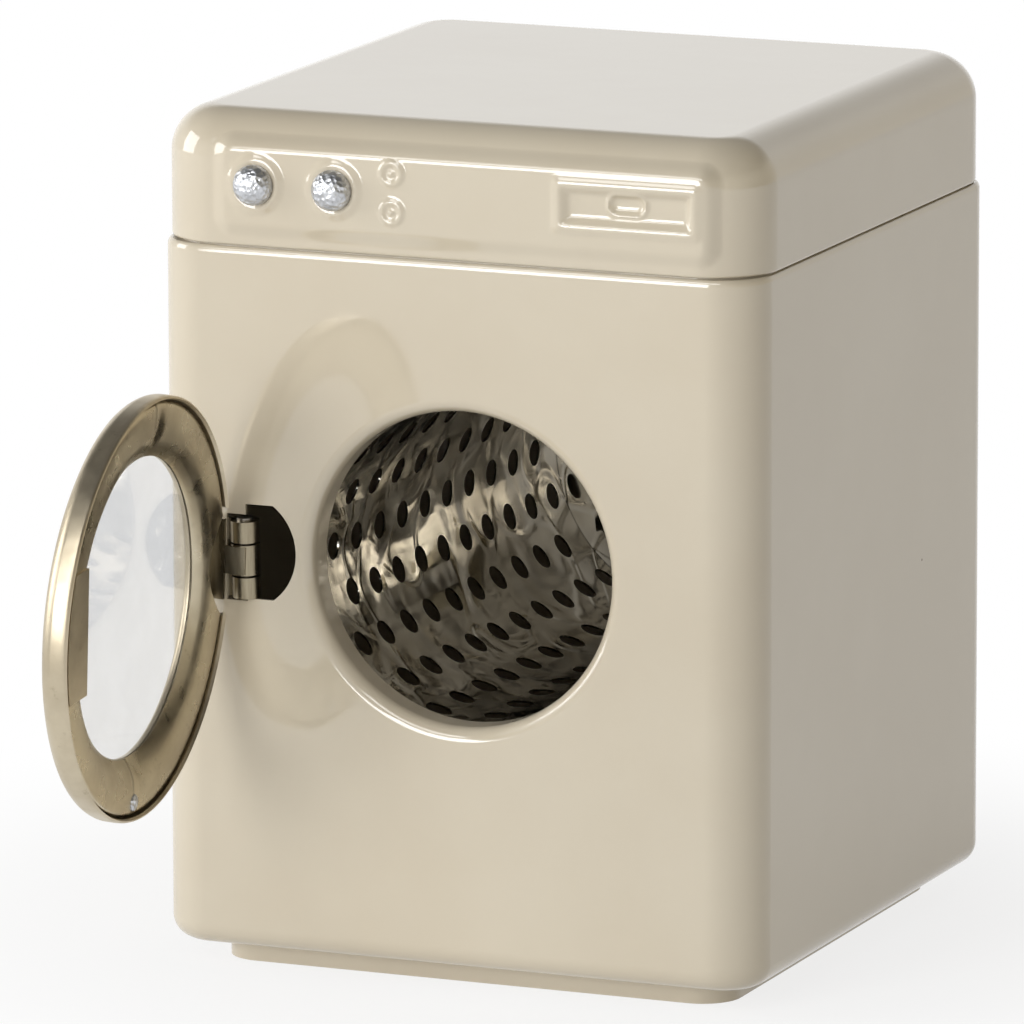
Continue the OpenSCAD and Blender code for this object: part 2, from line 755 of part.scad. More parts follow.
module drum_shell() {
    row_step = 360 / hole_rows;
    color(bright_steel) difference() {
        on_axis(drum_back_y) difference() {
            cylinder(r = drum_out_r, h = drum_len);
            translate([0, 0, -cut_extra]) cylinder(r = drum_in_r, h = drum_len + 2 * cut_extra);
        }
        for (row = [0:hole_rows - 1], i = [0:row_holes - 1])
            on_axis(drum_front_y + hole_start + (i + (row % 2) / 2) * hole_pitch)
                rotate([0, 0, row_step * row]) translate([drum_in_r - cut_extra, 0, 0])
                    rotate([0, 90, 0]) cylinder(r = hole_r, h = drum_t + 2 * cut_extra, $fn = 24);
    }
}

module drum_back() {
    seat = 0.05;
    color(bright_steel) on_axis(drum_back_y) difference() {
        cylinder(r = drum_in_r - seat, h = drum_back_t);
        translate([0, 0, -cut_extra]) cylinder(r = bush_r, h = drum_back_t + 2 * cut_extra);
    }
}

module drum_bush() {
    flange_t = 0.8;
    color(brass) difference() {
        union() {
            on_axis(drum_back_y) cylinder(r = bush_r, h = bush_len);
            on_axis(drum_back_y - drum_back_t) cylinder(r = bush_flange_r, h = flange_t);
        }
        on_axis(drum_back_y + cut_extra)
            cylinder(r = axle_r + axle_fit, h = bush_len + 2 * cut_extra);
    }
}

module drum_axle() {
    head_h = 1.6;
    tail_h = 0.5;
    head_y = bush_front_y - end_float;
    outside_y = back_y - sheet_t;
    color(bright_steel) {
        on_axis(outside_y) cylinder(r = axle_r, h = outside_y - head_y);
        on_axis(head_y) dome(axle_head_r, head_h);
        on_axis(outside_y) mirror([0, 0, 1]) dome(axle_head_r, tail_h);
    }
}

module axle_washer() {
    color(bright_steel) on_axis(plate_in_y) difference() {
        cylinder(r = washer_r, h = washer_t);
        translate([0, 0, -cut_extra]) cylinder(r = axle_r + axle_fit, h = washer_t + 2 * cut_extra);
    }
}

module axle_plate() {
    color(bright_steel) on_axis(panel_in_y) difference() {
        cylinder(r = axle_plate_r, h = axle_plate_t);
        translate([0, 0, -cut_extra])
            cylinder(r = axle_r + axle_fit, h = axle_plate_t + 2 * cut_extra);
    }
}

cabinet();
back_panel();
base_pan();
neck_band();
lid();
dial_rivet(dial_left_x);  // dial_rivet_left
dial_rivet(dial_right_x);  // dial_rivet_right
dial_washer(dial_left_x);  // dial_washer_left
dial_washer(dial_right_x);  // dial_washer_right
hinge_bracket();
hinge_pin();
door_hinge_leaf();
door_shell();
door_liner_free();
door_liner_hinge();
liner_solder();
door_window();
catch_plate();
drum_shell();
drum_back();
drum_bush();
drum_axle();
axle_washer();
axle_plate();
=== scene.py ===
import json
import math

import bmesh
import bpy
import numpy as np
from mathutils import Matrix, Vector
from mathutils.geometry import delaunay_2d_cdt


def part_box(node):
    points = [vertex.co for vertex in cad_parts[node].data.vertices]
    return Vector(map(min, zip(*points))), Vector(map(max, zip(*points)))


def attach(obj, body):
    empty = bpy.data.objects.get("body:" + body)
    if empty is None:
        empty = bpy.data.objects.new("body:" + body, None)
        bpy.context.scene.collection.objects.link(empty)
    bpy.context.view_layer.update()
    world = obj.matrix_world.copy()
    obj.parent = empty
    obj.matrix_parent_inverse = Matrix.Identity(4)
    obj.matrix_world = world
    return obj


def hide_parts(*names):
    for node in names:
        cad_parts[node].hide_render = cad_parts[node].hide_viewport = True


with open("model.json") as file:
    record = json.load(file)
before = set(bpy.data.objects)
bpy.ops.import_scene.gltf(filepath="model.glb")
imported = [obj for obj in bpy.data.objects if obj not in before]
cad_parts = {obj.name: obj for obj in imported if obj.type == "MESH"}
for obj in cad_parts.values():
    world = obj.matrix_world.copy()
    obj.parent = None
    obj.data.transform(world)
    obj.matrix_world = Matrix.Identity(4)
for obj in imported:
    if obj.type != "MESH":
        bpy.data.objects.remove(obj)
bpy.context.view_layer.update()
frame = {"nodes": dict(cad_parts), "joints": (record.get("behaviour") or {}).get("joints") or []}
nodes = frame["nodes"]
scene = bpy.context.scene
scene.view_settings.view_transform = "Standard"

MM = 0.001


def middle_mm(node, axis):
    """Middle of a node's box along one axis, in mm."""
    return sum(v[axis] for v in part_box(node)) * 500

# ---------------------------------------------------------------- camera

# fitted to the photo's edges: lens in mm, angles in radians, distance and offsets in metres
SENSOR_MM = 36
LENS_MM = 11289.18 / 1024 * SENSOR_MM
CAM_AZIMUTH, CAM_ELEVATION, CAM_ROLL = 0.39825, 0.20020, -0.0023747
CAM_DISTANCE, AIM_RIGHT, AIM_UP = 1.70732, -0.010202, -0.001671
AIM_Z = 0.065


def make_camera():
    ca, sa = math.cos(CAM_AZIMUTH), math.sin(CAM_AZIMUTH)
    ce, se = math.cos(CAM_ELEVATION), math.sin(CAM_ELEVATION)
    back = Vector((sa * ce, -ca * ce, se))
    level_right = Vector((ca, sa, 0))
    level_up = back.cross(level_right)
    cr, sr = math.cos(CAM_ROLL), math.sin(CAM_ROLL)
    right = level_right * cr + level_up * sr
    up = level_up * cr - level_right * sr
    target = Vector((0, 0, AIM_Z)) + right * AIM_RIGHT + up * AIM_UP
    data = bpy.data.cameras.new("camera")
    data.lens = LENS_MM
    data.sensor_width = SENSOR_MM
    data.sensor_fit = "HORIZONTAL"
    data.clip_start = 0.05
    cam = bpy.data.objects.new("camera", data)
    m = Matrix((right, up, back)).transposed().to_4x4()
    m.translation = target + back * CAM_DISTANCE
    cam.matrix_world = m
    scene.collection.objects.link(cam)
    scene.camera = cam


make_camera()

# ---------------------------------------------------------------- material helpers


class Nodes:
    """Short calls for building one material's node tree."""

    def __init__(self, name):
        self.mat = bpy.data.materials.new(name)
        self.mat.use_nodes = True
        self.t = self.mat.node_tree
        self.bsdf = self.t.nodes["Principled BSDF"]
        self.out = self.t.nodes["Material Output"]
        self.coord = self.t.nodes.new("ShaderNodeTexCoord").outputs["Object"]

    def new(self, kind, **inputs):
        n = self.t.nodes.new("ShaderNode" + kind)
        for k, v in inputs.items():
            self.put(n.inputs[k.replace("_", " ")], v)
        return n

    def put(self, socket, v):
        if isinstance(v, bpy.types.NodeSocket):
            self.t.links.new(v, socket)
        else:
            socket.default_value = v

    def shader(self, **inputs):
        for k, v in inputs.items():
            self.put(self.bsdf.inputs[k.replace("_", " ")], v)

    def stretch(self, sx, sy, sz):
        n = self.new("Mapping", Vector=self.coord, Scale=(sx, sy, sz))
        return n.outputs["Vector"]

    def noise(self, scale, detail=2.0, rough=0.5, vector=None, distortion=0.0):
        n = self.new("TexNoise", Scale=scale, Detail=detail, Roughness=rough, Distortion=distortion)
        self.put(n.inputs["Vector"], vector or self.coord)
        return n.outputs["Fac"]

    def cells(self, scale, smooth=None):
        n = self.new("TexVoronoi", Scale=scale, Vector=self.coord)
        if smooth is not None:
            n.feature = "SMOOTH_F1"
            self.put(n.inputs["Smoothness"], smooth)
        return n.outputs["Distance"]

    def math(self, op, a, b=0.0):
        n = self.new("Math")
        n.operation = op
        self.put(n.inputs[0], a)
        self.put(n.inputs[1], b)
        return n.outputs[0]

    def ramp(self, fac, lo, hi, out_lo=0.0, out_hi=1.0):
        n = self.new("MapRange")
        n.interpolation_type = "SMOOTHSTEP"
        for i, v in enumerate((fac, lo, hi, out_lo, out_hi)):
            self.put(n.inputs[i], v)
        return n.outputs[0]

    def mix(self, fac, a, b):
        n = self.new("Mix")
        n.data_type = "RGBA"
        fac_in, a_in, b_in = n.inputs[0], n.inputs[6], n.inputs[7]
        self.put(fac_in, fac)
        self.put(a_in, a)
        self.put(b_in, b)
        return n.outputs[2]

    def bump(self, height, distance, normal=None):
        n = self.new("Bump", Strength=1.0, Distance=distance, Height=height)
        if normal is not None:
            self.put(n.inputs["Normal"], normal)
        return n.outputs["Normal"]

    def blend(self, fac, other):
        """Mix the principled surface with another shader node's."""
        n = self.new("MixShader")
        plain_in, other_in = n.inputs[1], n.inputs[2]
        self.put(n.inputs[0], fac)
        self.put(plain_in, self.bsdf.outputs[0])
        self.put(other_in, other.outputs[0])
        self.put(self.out.inputs["Surface"], n.outputs[0])


def srgb(r, g, b, a=1.0):
    def lin(v):
        v /= 255
        return v / 12.92 if v <= 0.04045 else ((v + 0.055) / 1.055) ** 2.4
    return (lin(r), lin(g), lin(b), a)


def enamel(name):
    """Glossy cream enamel with a slow wave, fine peel and a few dust specks."""
    m = Nodes(name)
    cloud = m.noise(28, 3, 0.55)
    base = m.mix(m.ramp(cloud, 0.3, 0.7), srgb(201, 190, 169), srgb(205, 195, 175))
    seed = m.cells(110)
    pick = m.noise(75, 0)
    speck = m.math("MULTIPLY", m.ramp(seed, 0.03, 0.018), m.ramp(pick, 0.68, 0.7))
    base = m.mix(speck, base, srgb(120, 106, 84))
    peel = m.noise(700, 2, 0.5)
    wave = m.noise(30, 1, 0.4)
    relief = m.bump(peel, 0.0000012, normal=m.bump(wave, 0.00007))
    m.shader(Base_Color=base, Roughness=m.ramp(m.noise(220, 2), 0.2, 0.8, 0.05, 0.09),
             IOR=1.5, Specular_IOR_Level=0.95, Normal=relief)
    return m.mat


def plated(name, light, dark, rough, wavy):
    """Satin plating with stains, a fine grain and a wave of the given height in metres."""
    m = Nodes(name)
    cloud = m.noise(90, 4, 0.6)
    base = m.mix(m.ramp(cloud, 0.25, 0.75), srgb(*dark), srgb(*light))
    stain = m.ramp(m.noise(420, 3, 0.7), 0.6, 0.75)
    base = m.mix(m.math("MULTIPLY", stain, 0.25), base, srgb(96, 82, 60))
    grain = m.noise(5200, 2, 0.6)
    wave = m.noise(150, 2, 0.5)
    relief = m.bump(grain, 0.0000022, normal=m.bump(wave, wavy))
    m.shader(Base_Color=base, Metallic=1.0,
             Roughness=m.ramp(m.noise(260, 3), 0.25, 0.75, rough - 0.06, rough + 0.07),
             Normal=relief)
    return m.mat


def drum_metal(name):
    """Mirror-bright sheet, dented and creased."""
    m = Nodes(name)
    cloud = m.noise(70, 3, 0.55)
    base = m.mix(m.ramp(cloud, 0.3, 0.7), srgb(168, 163, 153), srgb(190, 186, 177))
    dents = m.noise(62, 1, 0.4, distortion=1.1)
    from_middle = m.math("SUBTRACT", m.noise(40, 1, 0.4, distortion=0.8), 0.5)
    crease = m.ramp(m.math("ABSOLUTE", from_middle), 0.0, 0.03)
    relief = m.bump(crease, 0.00007, normal=m.bump(dents, 0.0007))
    m.shader(Base_Color=base, Metallic=1.0,
             Roughness=m.ramp(m.noise(180, 3), 0.3, 0.7, 0.06, 0.12), Normal=relief)
    return m.mat


def hammered(name):
    """Bright metal with small facets, for the rivets and the solder."""
    m = Nodes(name)
    facets = m.cells(1500, smooth=0.35)
    fine = m.noise(3800, 2, 0.6)
    base = m.mix(m.ramp(m.noise(900, 3), 0.3, 0.7), srgb(186, 188, 192), srgb(214, 216, 220))
    relief = m.bump(fine, 0.00001, normal=m.bump(facets, 0.00022))
    m.shader(Base_Color=base, Metallic=1.0, Roughness=m.ramp(facets, 0.1, 0.7, 0.3, 0.42),
             Normal=relief)
    return m.mat


def plain_metal(name, light, dark, rough):
    """Metal with soft upright streaks."""
    m = Nodes(name)
    streaks = m.noise(900, 3, 0.6, vector=m.stretch(1, 1, 0.08))
    base = m.mix(m.ramp(streaks, 0.3, 0.7), srgb(*dark), srgb(*light))
    m.shader(Base_Color=base, Metallic=1.0,
             Roughness=m.ramp(streaks, 0.2, 0.8, rough - 0.05, rough + 0.08),
             Normal=m.bump(streaks, 0.000006))
    return m.mat


def clear_sheet(name):
    """Clear plastic that lets nearly all light through to what lies in its shadow."""
    m = Nodes(name)
    haze = m.noise(120, 3, 0.6)
    base = m.mix(m.ramp(haze, 0.3, 0.7), srgb(239, 240, 241), srgb(243, 244, 245))
    m.shader(Base_Color=base, Roughness=0.03, IOR=1.46, Transmission_Weight=1.0,
             Normal=m.bump(m.noise(60, 1), 0.00001))
    rays = m.new("LightPath")
    m.blend(rays.outputs["Is Shadow Ray"], m.new("BsdfTransparent", Color=(0.9, 0.905, 0.91, 1)))
    return m.mat


MAT = {
    "enamel": enamel("enamel"),
    "plated": plated("plated", (202, 191, 168), (180, 168, 145), 0.36, 0.000012),
    "liner": plated("liner_plating", (204, 194, 170), (182, 170, 146), 0.3, 0.00003),
    "drum": drum_metal("drum_sheet"),
    "alu": hammered("hammered_aluminium"),
    "steel": plain_metal("plain_steel", (176, 172, 164), (140, 135, 126), 0.32),
    # darker copy of the door's plating: the shade the hinge stands in beside the door ring is
    # painted into its colour
    "hinge": plain_metal("hinge_plating_painted_shade", (166, 156, 134), (138, 128, 108), 0.3),
    "solder": hammered("solder_metal"),
    "brass": plain_metal("turned_brass", (172, 164, 144), (150, 142, 122), 0.28),
    "clear": clear_sheet("clear_plastic"),
}


for node, mat in {
    "cabinet": "enamel", "back_panel": "enamel", "base_pan": "enamel", "neck_band": "enamel",
    "lid": "enamel", "dial_rivet_left": "alu", "dial_rivet_right": "alu",
    "dial_washer_left": "steel", "dial_washer_right": "steel", "hinge_bracket": "hinge",
    "hinge_pin": "steel", "door_hinge_leaf": "hinge", "door_shell": "plated",
    "door_liner_free": "liner", "door_liner_hinge": "liner", "liner_solder": "solder",
    "door_window": "clear", "catch_plate": "plated", "drum_shell": "drum", "drum_back": "drum",
    "drum_bush": "brass", "drum_axle": "steel", "axle_washer": "steel", "axle_plate": "steel",
}.items():
    nodes[node].data.materials.clear()
    nodes[node].data.materials.append(MAT[mat])

# ---------------------------------------------------------------- mesh helpers

WELD = 0.000002


def mesh_object(name, verts, faces, mat, body, replaced):
    """A new object, in metres in the frame, in place of one CAD node."""
    me = bpy.data.meshes.new(name)
    me.from_pydata([tuple(v) for v in verts], [], [tuple(f) for f in faces])
    me.validate()
    bm = bmesh.new()
    bm.from_mesh(me)
    bmesh.ops.remove_doubles(bm, verts=bm.verts, dist=WELD)
    bmesh.ops.recalc_face_normals(bm, faces=bm.faces)
    bm.to_mesh(me)
    bm.free()
    me.materials.append(MAT[mat])
    o = bpy.data.objects.new(name, me)
    scene.collection.objects.link(o)
    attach(o, body)
    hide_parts(replaced)
    return o


def smooth(o, angle):
    """Smooth shading, with edges sharper than the angle kept and the large faces flat."""
    o.data.shade_smooth()
    o.data.set_sharp_from_angle(angle=math.radians(angle))
    w = o.modifiers.new("normals", "WEIGHTED_NORMAL")
    w.keep_sharp = True
    w.weight = 100


def thicken(o, thick):
    """Give a skin its sheet thickness in mm, inwards."""
    s = o.modifiers.new("sheet", "SOLIDIFY")
    s.thickness = thick * MM
    s.offset = -1
    return s


def spread(a, b, n):
    """n + 1 even steps from a to b."""
    return [a + (b - a) * i / n for i in range(n + 1)]


class Outline:
    """A rounded rectangle seen from above, as points with the outward direction at each.

    It goes round from the front's left end, and runs lists each stretch's kind, start and count."""

    def __init__(self, hw, hd, r, front, side, corners):
        a, b = hw - r, hd - r
        self.runs = []
        pts = []

        def run(kind, seq):
            self.runs.append((kind, len(pts), len(seq)))
            pts.extend(seq)

        def corner(cx, cy, start, n):
            return [(cx + r * math.cos(t), cy + r * math.sin(t), math.cos(t), math.sin(t))
                    for t in spread(start, start + math.pi / 2, n)]
        run("front", [(x, -hd, 0, -1) for x in spread(-a, a, front)])
        run("corner", corner(a, -b, -math.pi / 2, corners[0]))
        run("right", [(hw, y, 1, 0) for y in spread(-b, b, side)])
        run("corner", corner(a, b, 0, corners[1]))
        run("back", [(x, hd, 0, 1) for x in spread(a, -a, max(8, front // 6))])
        run("corner", corner(-a, b, math.pi / 2, corners[1]))
        run("left", [(-hw, y, -1, 0) for y in spread(b, -b, side)])
        run("corner", corner(-a, -b, math.pi, corners[0]))
        self.p = np.array(pts, float)

    def ring(self, inset, z):
        """The outline as points at height z, drawn in by the inset."""
        q = self.p[:, :2] - self.p[:, 2:] * inset
        return np.column_stack([q, np.full(len(q), z)])


def join_rings(rings, skip=None):
    """Quads between neighbouring rings of equal length; skip(row, column) leaves one out."""
    n = len(rings[0])
    verts = np.vstack(rings)
    faces = []
    for k in range(len(rings) - 1):
        for i in range(n):
            j = (i + 1) % n
            if skip and skip(k, i):
                continue
            faces.append((k * n + i, k * n + j, (k + 1) * n + j, (k + 1) * n + i))
    return verts, faces


def ease(t):
    t = np.clip(t, 0, 1)
    return t * t * (3 - 2 * t)


def inside(distance, width):
    """1 well inside an outline and 0 outside it, eased over a width that ends at the outline."""
    return ease(-distance / width)


def rect_distance(x, z, cx, cz, hw, hh, r):
    """Distance from a rounded rectangle round cx, cz with half sizes hw, hh; negative inside."""
    qx = np.abs(x - cx) - (hw - r)
    qz = np.abs(z - cz) - (hh - r)
    out = np.hypot(np.maximum(qx, 0), np.maximum(qz, 0))
    return out + np.minimum(np.maximum(qx, qz), 0) - r

# ---------------------------------------------------------------- lid

lid_lo, lid_hi = (v * 1000 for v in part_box("lid"))
cab_lo, cab_hi = (v * 1000 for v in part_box("cabinet"))
HALF_W, HALF_D = lid_hi.x, lid_hi.y
SHEET = 0.6
SEAM = cab_hi.z
LID_CORNER, LID_EDGE = 9.9, 7.1
# the lid's lower edge turns in a little over its last stretch
LID_LIP = 0.35

LEFT_DIAL, RIGHT_DIAL = middle_mm("dial_rivet_left", 0), middle_mm("dial_rivet_right", 0)
DIAL_Z = middle_mm("dial_rivet_left", 2)

# raised forms of the lid's front, in mm: places, half sizes, corner radii, reliefs and soft edges
PANEL_X, PANEL_Z = 2.4, SEAM + 9.3
PANEL_HALF_W, PANEL_HALF_H, PANEL_ROUND = 40.5, 8.0, 3.5
PANEL_OUT, PANEL_SOFT = 0.8, 2.8
BOSS_R, BOSS_OUT, BOSS_SOFT = 5.0, 0.4, 1.5
SEAT_R, SEAT_DEPTH, SEAT_SOFT = 3.5, 0.12, 0.4
BUTTON_X = -8.8
BUTTON_HIGH_Z, BUTTON_LOW_Z = SEAM + 12.7, SEAM + 6.9
BUTTON_RING_R, BUTTON_RING_HALF, BUTTON_RING_OUT = 1.55, 0.75, 0.34
BUTTON_DOT_R, BUTTON_DOT_OUT, BUTTON_DOT_SOFT = 0.62, 0.38, 0.6
DRAWER_X, DRAWER_Z = 28.4, SEAM + 9.8
FRAME_HALF_W, FRAME_HALF_H, FRAME_ROUND, FRAME_SOFT = 12.2, 4.7, 1.6, 1.5
RECESS_HALF_W, RECESS_HALF_H, RECESS_ROUND = 10.6, 3.1, 0.9
RECESS_DEPTH, RECESS_SOFT = 0.95, 1.7
POCKET_UP, POCKET_HALF_W, POCKET_HALF_H, POCKET_ROUND = 0.5, 3.2, 1.8, 1.75
POCKET_RIM_IN, POCKET_RIM_HALF, POCKET_RIM_OUT = 0.2, 0.55, 0.3
POCKET_DEPTH, POCKET_IN, POCKET_SOFT = 0.42, 0.3, 1.0


def emboss(x, y, z):
    """New y of each point of the lid's front, in mm: panel, dial bosses, buttons and drawer."""
    panel = rect_distance(x, z, PANEL_X, PANEL_Z, PANEL_HALF_W, PANEL_HALF_H, PANEL_ROUND)
    out = y + (-HALF_D - PANEL_OUT - y) * inside(panel, PANEL_SOFT)
    for dial_x in (LEFT_DIAL, RIGHT_DIAL):
        r = np.hypot(x - dial_x, z - DIAL_Z)
        out -= BOSS_OUT * inside(r - BOSS_R, BOSS_SOFT)
        out += SEAT_DEPTH * inside(r - SEAT_R, SEAT_SOFT)
    for button_z in (BUTTON_HIGH_Z, BUTTON_LOW_Z):
        r = np.hypot(x - BUTTON_X, z - button_z)
        from_ring = np.abs(r - BUTTON_RING_R) - BUTTON_RING_HALF
        out -= BUTTON_RING_OUT * inside(from_ring, BUTTON_RING_HALF)
        out -= BUTTON_DOT_OUT * inside(r - BUTTON_DOT_R, BUTTON_DOT_SOFT)
    frame_edge = rect_distance(x, z, DRAWER_X, DRAWER_Z, FRAME_HALF_W, FRAME_HALF_H, FRAME_ROUND)
    out -= BOSS_OUT * inside(frame_edge, FRAME_SOFT)
    recess = rect_distance(x, z, DRAWER_X, DRAWER_Z, RECESS_HALF_W, RECESS_HALF_H, RECESS_ROUND)
    out += RECESS_DEPTH * inside(recess, RECESS_SOFT)
    pocket = rect_distance(x, z, DRAWER_X, DRAWER_Z + POCKET_UP, POCKET_HALF_W, POCKET_HALF_H,
                           POCKET_ROUND)
    from_rim = np.abs(pocket + POCKET_RIM_IN) - POCKET_RIM_HALF
    out -= POCKET_RIM_OUT * inside(from_rim, POCKET_RIM_HALF)
    out += POCKET_DEPTH * inside(pocket + POCKET_IN, POCKET_SOFT)
    return np.maximum(out, lid_lo.y)


def build_lid():
    line = Outline(HALF_W, HALF_D, LID_CORNER, 260, 10, (54, 16))
    low, z_edge = lid_lo.z, lid_hi.z - LID_EDGE
    rows = [(0.25, low), (0.09, low + 0.08), (0.0, low + LID_LIP)]
    rows += [(0.0, z) for z in spread(low + LID_LIP, z_edge, 40)[1:]]
    # the top edge's quarter round, finer over the part that the panel reaches
    for degrees in spread(0, 60, 44)[1:] + spread(60, 90, 10)[1:]:
        t = math.radians(degrees)
        rows.append((LID_EDGE * (1 - math.cos(t)), z_edge + LID_EDGE * math.sin(t)))
    rings = []
    for inset, z in rows:
        q = line.ring(inset, z)
        front = (line.p[:, 3] < -0.55) & (q[:, 1] < 0)
        q[front, 1] = emboss(q[front, 0], q[front, 1], q[front, 2])
        rings.append(q)
    # the flat top closes towards the middle in a few rings
    edge_of_top = rings[-1]
    for shrink in (0.75, 0.5, 0.25, 0.06):
        q = edge_of_top.copy()
        q[:, :2] *= shrink
        rings.append(q)
    verts, faces = join_rings(rings)
    faces.append(tuple(range(len(verts) - len(line.p), len(verts))))
    o = mesh_object("lid_skin", verts * MM, faces, "enamel", "lid_body", "lid")
    thicken(o, SHEET)
    smooth(o, 50)


build_lid()

# ---------------------------------------------------------------- cabinet

PORT_X, PORT_Z = middle_mm("drum_back", 0), middle_mm("drum_back", 2)
CAB_CORNER, CAB_BOTTOM = 7.8, 3.5
# the top edge rolls in over this height
CAB_ROLL = 1.1
LIP_R, COLLAR = 2.2, 3.5
DRUM_SHEET, DRUM_CLEAR = 0.3, 0.3
PORT_R = ((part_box("drum_shell")[1].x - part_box("drum_shell")[0].x) * 500
          - DRUM_SHEET - DRUM_CLEAR - SHEET)
PORT_STEPS = 144

# opening in the underside: half sizes and corner radius
BASE_HALF_W, BASE_HALF_D, BASE_ROUND = 41.3, 43.3, 6.3
# opening at the rear: half width, lower and upper edge
REAR_HALF_W, REAR_LOW, REAR_HIGH = 35, 9.9, 97

JOINT = {j["name"]: j for j in frame["joints"]}
HINGE = Vector(JOINT["door_swing"]["pos_m"]) * 1000

# opening behind the hinge, from the pin: a round part to the right and a slot round the knuckles
ROUND_UP, ROUND_HALF_H, ROUND_R = 1.15, 7.15, 8.8
ROUND_TO_PORT = 2.5
SLOT_LEFT, SLOT_STEP, SLOT_FLAT = -2.75, 0.6, 0.3
SLOT_LOW, SLOT_HIGH = -6.35, 6.7


def patch(columns, z_low, z_high, y, holes):
    """Flat front or back sheet between its columns, with holes, as triangles on one plane."""
    step, clear_of_holes = 5.0, 1.6
    pts, edges = [], []

    def loop(seq):
        k = len(pts)
        pts.extend(seq)
        edges.extend((k + i, k + (i + 1) % len(seq)) for i in range(len(seq)))
    loop([(x, z_low) for x in columns] + [(x, z_high) for x in reversed(columns)])
    for h in holes:
        loop(h)

    def in_hole(p, grow=0.0):
        for h in holes:
            hit = False
            for (x0, z0), (x1, z1) in zip(h, h[1:] + h[:1]):
                if (z0 > p[1]) != (z1 > p[1]) and p[0] < (x1 - x0) * (p[1] - z0) / (z1 - z0) + x0:
                    hit = not hit
                if grow and math.hypot(p[0] - x0, p[1] - z0) < grow:
                    return True
            if hit:
                return True
        return False
    nx = int((columns[-1] - columns[0]) / step)
    nz = int((z_high - z_low) / step)
    for x in spread(columns[0], columns[-1], nx)[1:-1]:
        for z in spread(z_low, z_high, nz)[1:-1]:
            if not in_hole((x, z), clear_of_holes):
                pts.append((x, z))
    out = delaunay_2d_cdt([Vector(p) for p in pts], edges, [], 0, 1e-5)
    flat = [(p.x, p.y) for p in out[0]]
    tris = []
    for f in out[2]:
        c = (sum(flat[i][0] for i in f) / len(f), sum(flat[i][1] for i in f) / len(f))
        if not in_hole(c):
            tris.append(tuple(f))
    return np.array([(x, y, z) for x, z in flat]), tris


def circle_points(cx, cz, r, n):
    return [(cx + r * math.cos(2 * math.pi * i / n), cz + r * math.sin(2 * math.pi * i / n))
            for i in range(n)]


def hinge_opening():
    """Outline of the opening behind the hinge: a straight side, a round side and a slot."""
    cz = HINGE.z + ROUND_UP
    cx = PORT_X - PORT_R - ROUND_TO_PORT - ROUND_R
    reach = math.asin(ROUND_HALF_H / ROUND_R)
    arc = [(cx + ROUND_R * math.cos(t), cz + ROUND_R * math.sin(t))
           for t in spread(-reach, reach, 28)]
    left, step, flat = HINGE.x + SLOT_LEFT, HINGE.x + SLOT_STEP, HINGE.x + SLOT_FLAT
    low, high = HINGE.z + SLOT_LOW, HINGE.z + SLOT_HIGH
    return ([(left, low), (step, low), (step, cz - ROUND_HALF_H)] + arc
            + [(flat, cz + ROUND_HALF_H), (flat, high), (left, high)])


def wrap_rings(line, low, high):
    """Rings of the wrapped sheet from the underside's opening up, over and down inside.

    Returns them with the rows of the outer and the inner wall."""
    hole = Outline(BASE_HALF_W, BASE_HALF_D, BASE_ROUND, 48, 10, (24, 16))
    rings = [hole.ring(0, low + SHEET), hole.ring(0, low)]
    for t in spread(math.pi / 2, 0, 14):
        rings.append(line.ring(CAB_BOTTOM * (1 - math.cos(t)),
                               low + CAB_BOTTOM * (1 - math.sin(t))))
    wall = len(rings) - 1
    rings.append(line.ring(0, high - CAB_ROLL))
    for t in spread(0, math.pi / 2, 6)[1:]:
        rings.append(line.ring(SHEET * (1 - math.cos(t)),
                               high - CAB_ROLL + CAB_ROLL * math.sin(t)))
    rings.append(line.ring(SHEET, high - CAB_ROLL))
    inner_wall = len(rings) - 1
    rings.append(line.ring(SHEET, low + CAB_BOTTOM))
    r = CAB_BOTTOM - SHEET
    for t in spread(0, math.pi / 2, 6)[1:]:
        rings.append(line.ring(SHEET + r * (1 - math.cos(t)),
                               low + CAB_BOTTOM - r * math.sin(t)))
    rings.append(hole.ring(0, low + SHEET))
    return rings, (wall, inner_wall)


def porthole_collar():
    """Rolled lip and collar of the porthole as one turned sheet."""
    front, inner_r = -HALF_D, LIP_R - SHEET
    section = [(PORT_R + LIP_R - LIP_R * math.sin(t), front + LIP_R * (1 - math.cos(t)))
               for t in spread(0, math.pi / 2, 12)]
    end = front + LIP_R + COLLAR
    section += [(PORT_R, end), (PORT_R + SHEET, end)]
    section += [(PORT_R + LIP_R - inner_r * math.sin(t), front + LIP_R - inner_r * math.cos(t))
                for t in spread(math.pi / 2, 0, 8)]
    verts, faces = [], []
    for i in range(PORT_STEPS):
        t = 2 * math.pi * i / PORT_STEPS
        verts += [(PORT_X + r * math.cos(t), y, PORT_Z + r * math.sin(t)) for r, y in section]
    m = len(section)
    for i in range(PORT_STEPS):
        j = (i + 1) % PORT_STEPS
        faces += [(i * m + k, j * m + k, j * m + k + 1, i * m + k + 1) for k in range(m - 1)]
    return verts, faces


def edge_wall(loop, y0, y1):
    """The cut edge of an opening, between two depths."""
    m = len(loop)
    verts = [(x, y0, z) for x, z in loop] + [(x, y1, z) for x, z in loop]
    return verts, [(i, (i + 1) % m, m + (i + 1) % m, m + i) for i in range(m)]


